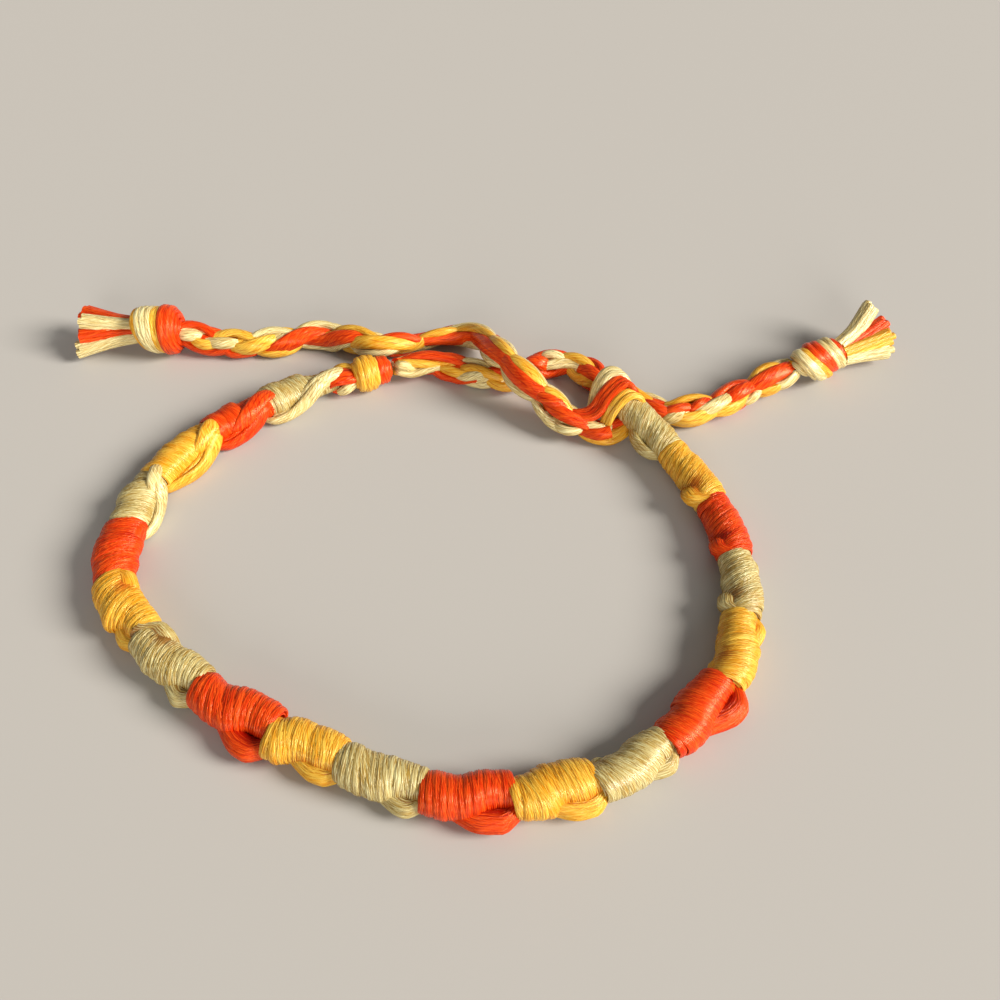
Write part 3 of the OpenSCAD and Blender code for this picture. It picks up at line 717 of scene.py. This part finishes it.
# Where the start float shows from above it crosses over the band in fat strands. For each strand: half
# width, then points at a share along the block, out from the wrist and up
CROSSINGS = {
    0: [
        (0.82, [
            (-0.17, -0.4, 0.2), (-0.1, -0.5, 1.2), (0.02, -0.7, 1.55), (0.14, -0.85, 1.5),
            (0.28, -1.05, 1.4), (0.42, -1.35, 1), (0.54, -1.4, 0.3),
        ]),
        (0.85, [
            (0.12, -1, 0.7), (0.2, -1.3, 1.3), (0.28, -1.57, 1.3), (0.4, -1.96, 0.8),
            (0.55, -2.15, -0.1), (0.75, -2.25, -0.8), (0.98, -2.1, -1), (1.12, -1.2, -1),
        ]),
        (0.8, [(0.35, -1.2, 0), (0.55, -1.6, -0.6), (0.8, -1.7, -1), (1, -1.3, -1)]),
    ],
    1: [
        (1.1, [
            (-0.18, 0.4, 0.4), (-0.07, 0.1, 1.4), (0.09, -0.4, 1.65), (0.24, -1.15, 1.4),
            (0.41, -1.75, 0.9), (0.6, -2, 0.1), (0.7, -1.9, -0.6),
        ]),
        (0.85, [
            (-0.02, -0.9, 0.6), (0.09, -1.4, 1.1), (0.19, -1.95, 0.6), (0.32, -2.3, -0.1),
            (0.56, -2.65, -0.7), (0.86, -2.6, -1), (1.02, -2, -1), (1.14, -1.1, -0.9),
        ]),
        (0.9, [(0.35, -1.5, -0.2), (0.55, -2, -0.6), (0.8, -2, -0.9), (1, -1.4, -1)]),
    ],
    2: [
        (1, [
            (-0.16, -0.3, 0.4), (-0.04, -0.7, 1.45), (0.08, -1.1, 1.45), (0.22, -1.6, 1.05),
            (0.33, -1.75, 0.5), (0.38, -1.7, 0),
        ]),
        (1.05, [
            (-0.06, -1.3, 0.5), (0.03, -1.7, 1), (0.1, -2.05, 0.5), (0.22, -2.4, -0.2),
            (0.4, -2.75, -0.7), (0.63, -2.8, -1), (0.84, -2.2, -1), (1.04, -1.4, -0.9),
            (1.14, -0.8, -0.8),
        ]),
        (0.95, [
            (0.15, -1.5, 0.1), (0.32, -2, -0.4), (0.52, -2.2, -0.8), (0.75, -1.9, -1), (0.95, -1.2, -1),
        ]),
    ],
    3: [
        (0.75, [
            (-0.16, 0, 0.4), (-0.05, -0.3, 1.45), (0.07, -0.7, 1.6), (0.22, -1.1, 1.4),
            (0.33, -1.35, 0.9), (0.4, -1.4, 0.3),
        ]),
        (0.95, [
            (0.08, -1.3, 0.6), (0.18, -1.6, 1.2), (0.26, -1.95, 0.6), (0.36, -2.15, -0.1),
            (0.52, -2.35, -0.6), (0.77, -2.4, -0.9), (0.99, -2, -0.9), (1.12, -1.2, -0.9),
        ]),
        (0.8, [(0.3, -1.4, 0), (0.5, -1.8, -0.6), (0.75, -1.8, -0.9), (0.95, -1.3, -0.9)]),
    ],
    18: [
        (0.95, [
            (-0.1, 0.2, -0.5), (0.02, -0.9, -0.6), (0.15, -1.95, -0.6), (0.33, -2.4, -0.5),
            (0.52, -2.2, -0.4), (0.68, -1.4, -0.2), (0.78, -0.7, 0),
        ]),
    ],
}
# The first strand's hitches that a crossing lies on are pulled down, up to this share of the block and
# to this size
PRESSED = {0: 0.42, 1: 0.5, 2: 0.24, 3: 0.3}
PRESSED_SIZE = 0.82
# How much higher, in millimetres, the start float lies where it comes up on to the band
START_RISES = {4: 0.6, 5: 0.95, 6: 1.05, 12: 0.2, 14: 0.6, 15: 0.85, 16: 0.9, 17: 0.9}
# Share of each block where the end float comes out from under the first strand's hitches
FLOAT_STARTS = [
    0.4, 0.5, 0.5, 0.5, 0.65, 0.6, 0.68, 0.5, 0.45, 0.6,
    0.4, 0.45, 0.62, 0.52, 0.6, 0.55, 0.55, 0.55, 0.55,
]
# Lean of the first and the second strand's hitches, in degrees, with the outer side ahead
LEANS = [
    (15, 5), (15, 5), (15, 5), (15, 10), (15, 24), (32, 14), (20, 14), (38, 12), (18, 16), (28, 8),
    (12, 3), (20, 14), (25, 20), (20, 12), (20, 14), (36, 22), (34, 22), (32, 28), (26, 28),
]
JOINT_LEAN = 8
# Smaller wraps are tucked in at both ends of a block: share of the block, then size
TUCKED_IN = [(0.03, 0.55), (0.035, 0.78)]
TUCKED_OUT = [(0.965, 0.78), (0.97, 0.55)]
# Half thickness of a wrap and of a float's strand, half height of the first and the second strand's
# hitches, half width and half height of a float, and how high the floats' middles lie
WRAP_THICK = 0.22
FLOAT_THICK = 0.24
FIRST_TALL, SECOND_TALL = 1.82, 1.76
FLOAT_WIDE, FLOAT_TALL = 1.15, 1.0
END_FLOAT_UP, START_FLOAT_UP = -0.55, -0.35
# Strands lie side by side round a float at these turns, in degrees from its outer side upwards
FLOAT_TURNS = range(165, -61, -25)
FLOAT_STRAND_WIDE = 0.36
FLOAT_POINTS = 18
# How far an end float runs hidden before it comes out, and floats run past a joint, in shares of a block
FLOAT_HIDDEN = 0.2
FLOAT_PAST = 0.07
# Turn round the wraps where each float lies against them, and how wide, in degrees, and how far the
# painted shade in that crease deepens their colour
END_CREASE, START_CREASE = (-5, 28), (128, 32)
END_SHADE, START_SHADE = 0.75, 0.95
CROSSING_THICK = 0.52
TABLE_GAP = 0.03
# The wraps bunch up into this many lumps to a block, higher where they are hitched loosely
LUMPS = 2.4
LOOSE_LUMP, TIGHT_LUMP = 0.055, 0.03
LOOSE_BLOCKS = 4
joints_run_on = run_on(JOINTS)


def on_band(u):
    """Points on the middle line of the band, one unit of u for each block."""
    u = np.atleast_1d(np.asarray(u, float))
    i = np.clip(np.floor(u).astype(int), 0, len(JOINTS) - 2)
    return curve_between(*(joints_run_on[i + k] for k in range(4)), (u - i)[:, None])


def at_band(u, x, z):
    """Points at u along the band, out from the wrist by x and up by z, and the outward direction."""
    d = on_band(np.asarray(u) + 0.02) - on_band(np.asarray(u) - 0.02)
    d[:, 2] = 0
    d = unit(d)
    out = np.stack([d[:, 1], -d[:, 0], np.zeros(len(d))], axis=1)
    return on_band(u) + np.asarray(x)[:, None] * out + np.asarray(z)[:, None] * UP, out


def soft_step(a, b, x):
    """0 up to a, 1 from b on, and smooth between them."""
    t = np.clip((x - a) / (b - a), 0, 1)
    return t * t * (3 - 2 * t)


def bell(x, centre, width):
    """1 at centre, falling away smoothly on both sides over width."""
    return np.exp(-(((x - centre) / width) ** 2))


def hitch(i, t, size, lean, length):
    """One wrap of block i at share t of its length, with size as a share of the sleeve's own size
    there, and leaning by lean degrees."""
    dye, share, first_out, first_wide, second_out, second_wide = BLOCKS[i][:6]
    # The second strand takes over from the first round share, the block draws in a little at its ends,
    # and no two wraps are quite alike
    second = soft_step(share - 0.2, share + 0.14, t)
    size = size * (1 - 0.12 * abs(2 * t - 1) ** 6)
    out = first_out + (second_out - first_out) * second + floss_chance.uniform(-0.04, 0.04)
    wide = (first_wide + (second_wide - first_wide) * second) * size - WRAP_THICK
    tall = (FIRST_TALL + (SECOND_TALL - FIRST_TALL) * second) * size - WRAP_THICK
    wide = wide * floss_chance.uniform(0.97, 1.02)
    tall = tall * floss_chance.uniform(0.98, 1.01)
    x = out + wide * np.cos(LOOP_TURNS)
    z = tall * np.sin(LOOP_TURNS)
    sway = 0.08 * np.sin(LOOP_TURNS + floss_chance.uniform(0, 6.3))
    sway = sway + 0.05 * np.sin(2 * LOOP_TURNS + floss_chance.uniform(0, 6.3))
    shift = (x * math.tan(math.radians(lean)) + sway) / length
    middle, out_way = at_band(i + t + shift, x, z)
    face = (np.cos(LOOP_TURNS) / wide)[:, None] * out_way + (np.sin(LOOP_TURNS) / tall)[:, None] * UP
    # Painted shade: its colour is deepened in the crease where the end float lies against its outer side,
    #     where the start float lies on its inner shoulder, and the more the smaller the wrap is, most
    #     where it is tucked in
    degrees = np.degrees(LOOP_TURNS)
    end_float_shade = soft_step(share, share + 0.2, t) * bell(degrees, *END_CREASE)
    start_float_shade = START_RISES.get(i, 0) * bell(t, 0.32, 0.13) * bell(degrees, *START_CREASE)
    crease_shade = END_SHADE * end_float_shade + START_SHADE * start_float_shade + (1 - min(size, 1))
    half_wide = floss_chance.uniform(0.46, 0.52)
    return strand(middle, face, half_wide, WRAP_THICK, dye, closed=True, crease_shade=crease_shade)


def float_bundle(i, t, reach, way, up, shade=0):
    """Strands side by side round the idle strand's path along block i. They reach out from the wrist
    where way is 1 and in towards it where way is -1, up is the height of their middle, and shade is
    painted shade, how far their colour is deepened where they go under the hitches."""
    strands = []
    for turn in FLOAT_TURNS:
        # Painted shade: on the side towards the band they lie in the crease, and their colour is deepened
        # there
        crease_shade = max(0, (turn - 60) / 90) + shade
        turn = math.radians(turn + floss_chance.uniform(-4, 4))
        fan = 1 - 0.05 * floss_chance.random()
        x = way * (reach * fan - FLOAT_WIDE + (FLOAT_WIDE - FLOAT_THICK) * math.cos(turn))
        z = np.full(len(t), up + (FLOAT_TALL - FLOAT_THICK) * math.sin(turn))
        middle, out_way = at_band(i + t, x, z)
        face = way * math.cos(turn) * out_way + math.sin(turn) * UP
        strands.append(strand(middle, face, FLOAT_STRAND_WIDE, FLOAT_THICK, BLOCKS[i][0], crease_shade=crease_shade))
    return strands


def crossing(i):
    """The strands of a start float that crosses over block i, which swell where they lie on top."""
    strands = []
    for half_wide, rows in CROSSINGS[i]:
        t, x, z = smooth_route(rows, 4).T
        middle, out_way = at_band(i + t, x, z)
        swell = 0.5 + 0.5 * np.sin(np.linspace(0, math.pi, len(t))) ** 0.6
        # It stays clear of the table, whichever way its flat side faces
        middle[:, 2] = np.maximum(middle[:, 2], half_wide * swell + TABLE_GAP)
        face = x[:, None] * out_way + (z + 0.4)[:, None] * UP
        strands.append(strand(middle, face, half_wide * swell, CROSSING_THICK * swell, BLOCKS[i][0]))
    return strands


for i, (dye, share, *_, end_reach, start_reach, start_share) in enumerate(BLOCKS):
    length = float(np.linalg.norm(JOINTS[i + 1] - JOINTS[i]))
    lump = LOOSE_LUMP if i < LOOSE_BLOCKS else TIGHT_LUMP
    lumps_start = floss_chance.random()
    lean_shares = (0, share / 2, (1 + share) / 2, 1)
    strands = []
    for t, size in (*TUCKED_IN, *(((k + 0.5) / WRAPS, 1) for k in range(WRAPS)), *TUCKED_OUT):
        if t < PRESSED.get(i, 0):
            size = PRESSED_SIZE * size
        size = size * (1 + lump * math.sin(2 * math.pi * (LUMPS * t + lumps_start)))
        lean = np.interp(t, lean_shares, (JOINT_LEAN, *LEANS[i], JOINT_LEAN))
        strands.append(hitch(i, t, size, lean + floss_chance.uniform(-2.5, 2.5), length))
    # The end float bows out from under the hitches and goes in again at the joint
    hidden = FLOAT_STARTS[i] - FLOAT_HIDDEN
    t = np.linspace(hidden, 1 + FLOAT_PAST, FLOAT_POINTS)
    reach = end_reach * (0.5 + 0.48 * soft_step(hidden, FLOAT_STARTS[i] + 0.28, t))
    reach = reach * (1 - 0.5 * soft_step(0.86, 1.12, t))
    floats = float_bundle(i, t, reach, 1, END_FLOAT_UP)
    if i in CROSSINGS:
        # The last block's crossing is pulled tight, so its straw strands get no painted light for loose
        # floss
        crossed = lay_floss(
            f"start_float_crossing_{i + 1:02d}",
            crossing(i),
            FLOSS if i == len(BLOCKS) - 1 else PAINTED_LIT_LOOSE_FLOSS,
            plies=12,
            groove=0.06,
            twist=0.9,
        )
    else:
        # The start float comes out at the joint, on some blocks up on to the band, and dives in
        crossed = None
        t = np.linspace(-FLOAT_PAST, start_share, FLOAT_POINTS)
        late = 0.15 * start_share if i in START_RISES else 0
        dive = soft_step(0.2 * start_share + late, start_share + late, t)
        reach = start_reach * (0.95 - 0.55 * dive)
        reach = reach * (0.5 + 0.5 * soft_step(-0.08, 0.1, t))
        rise = START_RISES.get(i, 0) * (1 - soft_step(0.3 * start_share, 0.8 * start_share, t))
        # Painted shade, deepening the start float's colour where it dives in under the hitches
        shade = 0.9 * soft_step(0.4 * start_share, 0.8 * start_share, t)
        floats += float_bundle(i, t, reach, -1, START_FLOAT_UP + rise, shade)
    node = f"hitches_{i + 1:02d}_{DYE_NAMES[dye]}"
    wraps = lay_floss(node + "_wraps", strands, FLOSS, sides=20, crowding=0.5, plies=13)
    floats = lay_floss(node + "_floats", floats, FLOSS, sides=14, crowding=0.5, plies=9)
    for piece in filter(None, (wraps, floats, crossed)):
        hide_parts(node)
        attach(piece, "root")

# Carried strands
# The hitches go round a bundle of the idle strands, which shows only in the creases between blocks.
# Six of them lie in a ring round a seventh.
CARRIED_RING = 6
CARRIED_SPREAD = 0.5
CARRIED_THICK = 0.29
u = np.linspace(0, 19.45, 140)
strands = []
for k in range(CARRIED_RING + 1):
    turn = 2 * math.pi * k / CARRIED_RING
    spread = 0 if k == CARRIED_RING else CARRIED_SPREAD
    x = np.full(len(u), spread * math.cos(turn))
    z = np.full(len(u), spread * math.sin(turn))
    middle, out_way = at_band(u, x, z)
    face = x[:, None] * out_way + (z + 0.01)[:, None] * UP
    dye = (PALE, ORANGE, YELLOW)[k % 3]
    strands.append(strand(middle, face, CARRIED_THICK, CARRIED_THICK, dye))
core = lay_floss("carried_strand_bundle", strands, FLOSS)
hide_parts("carried_strands")
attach(core, "root")

# Folded groups
# At the start of the band the strands fold over the end in three flat groups and turn into the tail.
FOLD_WIDE, FOLD_THICK = 0.5, 0.42
# For each dye: where its strands lie side by side along the band, and the line that they follow
FOLDS = (
    (
        [-0.34, 0.34],
        [
            (22.9, 21.7, 2.6), (22.8, 22.2, 4.2), (22.5, 22.7, 5.3), (21.8, 23.1, 6), (20.9, 23.2, 6.1),
            (20.1, 22.9, 5.8), (19.4, 22.3, 4.8), (19, 21.5, 3.8), (18.7, 20.5, 2.6), (18, 19.5, 1.6),
        ],
    ),
    (
        [-0.6, 0, 0.6],
        [
            (23.8, 20.6, 2.8), (23.4, 21.2, 4.4), (22.9, 21.5, 5.4), (22.2, 21.9, 5.8),
            (21.2, 21.4, 5.5), (20, 20.4, 4.7), (19.2, 19.6, 3.7), (18.1, 19.2, 3),
            (16.4, 19.3, 2.8), (15, 20, 2.8),
        ],
    ),
    (
        [-0.35, 0.35],
        [
            (24.4, 19.8, 2.8), (24.1, 20.3, 4.2), (23.6, 20.4, 5), (22.7, 20.2, 5.3), (21.6, 19.5, 4.9),
            (20.7, 18.8, 3.9), (20.2, 18.5, 2.6), (19.8, 18.2, 1.6),
        ],
    ),
)
end_way = unit((JOINTS[-1] - JOINTS[-2]) * (1, 1, 0))
for dye, (places, line) in enumerate(FOLDS):
    name = DYE_NAMES[dye]
    strands = []
    for place in places:
        points = smooth_route(np.array(line) + place * end_way, 4)
        along = unit(np.gradient(points, axis=0))
        strands.append(strand(points, np.cross(along, end_way), FOLD_WIDE, FOLD_THICK, dye))
    piece = lay_floss("folded_" + name + "_strands", strands, PAINTED_LIT_LOOSE_FLOSS)
    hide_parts("folded_" + name)
    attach(piece, "root")

# End lead and finishing knot
# At the other end the strands leave the first block side by side and are tied in one overhand knot.
FINISHING_KNOT = np.array([(-10, 26.8, 2.2), (-5.6, 28.3, 2.2)])
LEAD_THICK = 0.7
# Strands of the lead: dye, half width and points
LEAD_STRANDS = [
    (ORANGE, 1.4, [
        (-13.4, 25.8, 1.4), (-12.5, 25.9, 2.4), (-11.4, 26, 2.8), (-10.3, 26.3, 2.6), (-9.5, 26.7, 2.2),
    ]),
    (PALE, 0.55, [(-11.9, 25.2, 0.9), (-11.1, 25.1, 1.4), (-10.4, 25.3, 1.8), (-9.6, 26, 1.9)]),
    (YELLOW, 0.75, [(-13.2, 27.2, 1.4), (-12.2, 27.4, 2.4), (-11, 27.6, 2.7), (-9.6, 27.4, 2.3)]),
    (ORANGE, 1.1, [(-13.2, 26.2, 1), (-11.5, 26.2, 0.9), (-9.8, 26.8, 1.3)]),
    (PALE, 0.9, [(-13.2, 27, 1), (-11.5, 27.1, 1), (-9.8, 27.3, 1.3)]),
]
strands = []
for dye, half_wide, points in LEAD_STRANDS:
    line = smooth_route(points, 5)
    swell = 0.6 + 0.4 * np.sin(np.linspace(0, math.pi, len(line)))
    strands.append(strand(line, UP, half_wide * swell, LEAD_THICK * swell, dye))
lead = lay_floss("end_lead_strands", strands, PAINTED_LIT_LOOSE_FLOSS)
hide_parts("end_lead")
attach(lead, "root")
finishing = lay_floss(
    "finishing_overhand_knot",
    knot(
        FINISHING_KNOT,
        [
            (0.05, 0.05, 1.1, YELLOW), (0.08, 0.08, 1.7, YELLOW), (0.18, 0.16, 2.2, YELLOW),
            (0.31, 0.29, 2.3, YELLOW), (0.45, 0.43, 2.2, YELLOW), (0.57, 0.55, 1.8, YELLOW),
            (0.68, 0.66, 1.8, ORANGE), (0.8, 0.78, 1.75, ORANGE), (0.87, 0.86, 1.2, ORANGE),
        ],
    ),
    PAINTED_LIT_LOOSE_FLOSS,
)
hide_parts("finishing_knot")
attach(finishing, "root")

# Table and light
# A plain pale table in soft light, which comes from a wide window low on the right and, weaker, from a
# pale wall in front.
bpy.ops.mesh.primitive_plane_add(size=6, location=(0, 0, 0))
table = bpy.context.object
table.name = "table_top"
table_paint = bpy.data.materials.new("matt_table_paint")
table_paint.use_nodes = True
paint = table_paint.node_tree.nodes["Principled BSDF"].inputs
paint["Base Color"].default_value = linear("#BDB8B1")
paint["Roughness"].default_value = 0.8
table.data.materials.append(table_paint)
# How wide the window and the wall look from the table, in degrees
LIGHT_WIDTH = 26
for name, strength, colour, place in (
    ("window_light", 5, (1, 0.97, 0.92), (0.84, -0.17, 0.5)),
    ("wall_light", 1.4, (1, 0.98, 0.95), (0.1, -0.95, 0.3)),
):
    lamp_data = bpy.data.lights.new(name, "SUN")
    lamp_data.energy = strength
    lamp_data.color = colour
    lamp_data.angle = math.radians(LIGHT_WIDTH)
    lamp = bpy.data.objects.new(name, lamp_data)
    lamp.location = place
    lamp.rotation_euler = Vector(place).to_track_quat("Z", "Y").to_euler()
    bpy.context.scene.collection.objects.link(lamp)
room = bpy.data.worlds.new("room")
room.use_nodes = True
room_light = room.node_tree.nodes["Background"].inputs
room_light["Color"].default_value = linear("#E4E3E0")
room_light["Strength"].default_value = 0.3
bpy.context.scene.world = room
bpy.context.scene.view_settings.view_transform = "Standard"
